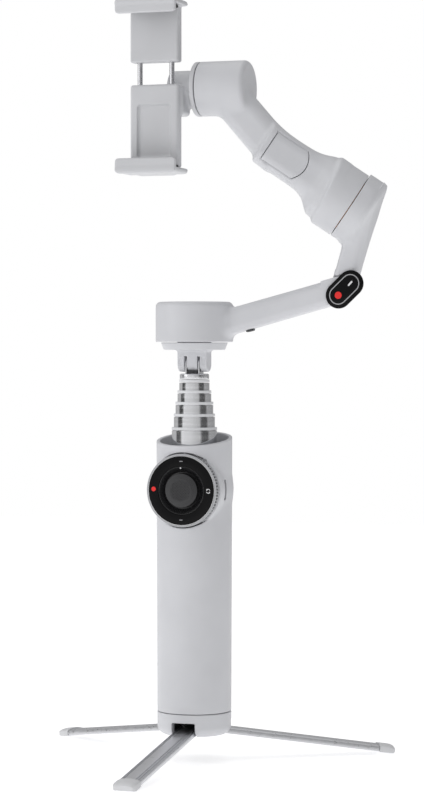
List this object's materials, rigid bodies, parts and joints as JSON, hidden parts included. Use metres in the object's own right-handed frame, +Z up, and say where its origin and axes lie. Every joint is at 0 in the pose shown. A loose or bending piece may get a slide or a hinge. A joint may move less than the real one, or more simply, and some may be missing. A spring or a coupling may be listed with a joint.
{
  "type": "gimbal stabilizer",
  "caption": "Handheld phone gimbal: tripod legs, grip with control pod, telescopic rod, folding motor arm and a spring phone clamp.",
  "frame": {"origin": "centre of the leg hub's flat underside, on the grip axis", "axes": "+Z up along the grip and the rod; -Y towards the user and the controls; +X towards the side that the arm is on"},
  "size_m": [0.1808, 0.1526, 0.362],
  "materials": {
    "grey_plastic": "satin",
    "arm_grey": "satin",
    "clamp_grey": "satin",
    "collar_plastic": "satin",
    "polished_metal": "polished",
    "leg_aluminium": "brushed",
    "foot_plastic": "matte",
    "black_gloss": "gloss",
    "dark_plastic": "matte",
    "black_rubber": "matte",
    "red_plastic": "gloss",
    "circuit_green": "matte",
    "cell_blue": "satin",
    "winding_copper": "satin",
    "magnet_steel": "satin"
  },
  "bodies": {
    "grip": {"grip_shell": "grey_plastic", "base_cap": "grey_plastic", "leg_hub": "dark_plastic", "leg_pin_front": "polished_metal", "leg_pin_right": "polished_metal", "leg_pin_left": "polished_metal", "chassis": "dark_plastic", "battery": "cell_blue", "main_board": "circuit_green", "charge_socket": "polished_metal", "pod_base": "dark_plastic", "dish": "black_gloss", "trigger_pin": "polished_metal"},
    "leg_front_body": {"leg_front": "leg_aluminium", "leg_foot_front": "foot_plastic"},
    "leg_right_body": {"leg_right": "leg_aluminium", "leg_foot_right": "foot_plastic"},
    "leg_left_body": {"leg_left": "leg_aluminium", "leg_foot_left": "foot_plastic"},
    "rod_e": {"tube_e": "polished_metal", "collar_e": "collar_plastic"},
    "rod_d": {"tube_d": "polished_metal", "collar_d": "collar_plastic"},
    "rod_c": {"tube_c": "polished_metal", "collar_c": "collar_plastic"},
    "rod_b": {"tube_b": "polished_metal", "collar_b": "collar_plastic"},
    "rod_a": {"tube_a": "polished_metal", "collar_a": "collar_plastic", "neck_fork": "polished_metal", "neck_pin": "polished_metal"},
    "pan_base_body": {"pan_base": "grey_plastic", "pan_stator": "winding_copper"},
    "pan_body": {"pan_arm": "arm_grey", "pan_magnets": "magnet_steel", "arm_bump": "dark_plastic", "fold_badge": "black_gloss", "badge_dot": "red_plastic", "fold_cap": "dark_plastic", "fold_pin": "polished_metal"},
    "upper_body": {"upper_arm": "arm_grey", "roll_stator": "winding_copper"},
    "roll_body": {"roll_arm": "arm_grey", "arm_cover": "arm_grey", "roll_magnets": "magnet_steel", "tilt_stator": "winding_copper"},
    "clamp": {"clamp_body": "clamp_grey", "guide_rod_left": "polished_metal", "guide_rod_right": "polished_metal", "jaw_lower": "clamp_grey", "pad_lower": "black_rubber"},
    "jaw": {"jaw_upper": "clamp_grey", "pad_upper": "black_rubber"},
    "wheel_body": {"wheel": "grey_plastic"},
    "stick_yoke_body": {"stick_yoke": "polished_metal"},
    "stick": {"joystick": "black_rubber"},
    "ring": {"ring_button": "black_gloss"},
    "trigger_body": {"trigger": "grey_plastic"},
    "power": {"power_button": "dark_plastic"}
  },
  "joints": [
    {"name": "leg_front_fold", "type": "hinge", "parent": "grip", "child": "leg_front_body", "pos_m": [0, -0.005, 0.0029], "axis": [1, 0, 0], "range_deg": [0, 81.5]},
    {"name": "leg_right_fold", "type": "hinge", "parent": "grip", "child": "leg_right_body", "pos_m": [0.00433, 0.0025, 0.0029], "axis": [-0.5, 0.866, 0], "range_deg": [0, 81.5]},
    {"name": "leg_left_fold", "type": "hinge", "parent": "grip", "child": "leg_left_body", "pos_m": [-0.00433, 0.0025, 0.0029], "axis": [-0.5, -0.866, 0], "range_deg": [0, 81.5]},
    {"name": "rod_e_slide", "type": "slide", "parent": "grip", "child": "rod_e", "axis": [0, 0, 1], "range_m": [-0.026, 0.017]},
    {"name": "rod_d_slide", "type": "slide", "parent": "rod_e", "child": "rod_d", "axis": [0, 0, 1], "range_m": [-0.0049, 0.0381]},
    {"name": "rod_c_slide", "type": "slide", "parent": "rod_d", "child": "rod_c", "axis": [0, 0, 1], "range_m": [-0.0041, 0.0389]},
    {"name": "rod_b_slide", "type": "slide", "parent": "rod_c", "child": "rod_b", "axis": [0, 0, 1], "range_m": [-0.0039, 0.0391]},
    {"name": "rod_a_slide", "type": "slide", "parent": "rod_b", "child": "rod_a", "axis": [0, 0, 1], "range_m": [-0.0036, 0.0394]},
    {"name": "neck_tilt", "type": "hinge", "parent": "rod_a", "child": "pan_base_body", "pos_m": [0, 0, 0.1775], "axis": [-1, 0, 0], "range_deg": [0, 70]},
    {"name": "pan_turn", "type": "hinge", "parent": "pan_base_body", "child": "pan_body", "pos_m": [0, 0, 0.19], "axis": [0, 0, 1], "range_deg": [-50, 297]},
    {"name": "arm_fold", "type": "hinge", "parent": "pan_body", "child": "upper_body", "pos_m": [0.0738, 0, 0.213], "axis": [0, 1, 0], "range_deg": [0, 164]},
    {"name": "roll_turn", "type": "hinge", "parent": "upper_body", "child": "roll_body", "pos_m": [0.0773, 0, 0.2523], "axis": [-0.7892, -0.2671, 0.5531], "range_deg": [-230, 70]},
    {"name": "tilt_turn", "type": "hinge", "parent": "roll_body", "child": "clamp", "pos_m": [0.005, -0.0095, 0.3084], "axis": [1, 0, 0], "range_deg": [-98, 210]},
    {"name": "jaw_slide", "type": "slide", "parent": "clamp", "child": "jaw", "axis": [0, 0, 1], "range_m": [-0.01, 0.01]},
    {"name": "wheel_spin", "type": "hinge", "parent": "grip", "child": "wheel_body", "pos_m": [0, -0.017, 0.1176], "axis": [0, -1, 0], "continuous": true},
    {"name": "stick_tip", "type": "hinge", "parent": "grip", "child": "stick_yoke_body", "pos_m": [0, -0.01505, 0.1176], "axis": [1, 0, 0], "range_deg": [-10, 10], "stiffness_Nm_per_rad": 0.02},
    {"name": "stick_swing", "type": "hinge", "parent": "stick_yoke_body", "child": "stick", "pos_m": [0, -0.01505, 0.1176], "axis": [0, 0, 1], "range_deg": [-10, 10], "stiffness_Nm_per_rad": 0.02},
    {"name": "ring_press", "type": "slide", "parent": "grip", "child": "ring", "axis": [0, 1, 0], "range_m": [0, 0.0005], "stiffness_N_per_m": 1500},
    {"name": "trigger_pull", "type": "hinge", "parent": "grip", "child": "trigger_body", "pos_m": [0, 0.0147, 0.1262], "axis": [-1, 0, 0], "range_deg": [0, 3.5], "stiffness_Nm_per_rad": 0.6},
    {"name": "power_press", "type": "slide", "parent": "grip", "child": "power", "axis": [-0.9421, 0.3354, 0], "range_m": [0, 0.0005], "stiffness_N_per_m": 900}
  ]
}
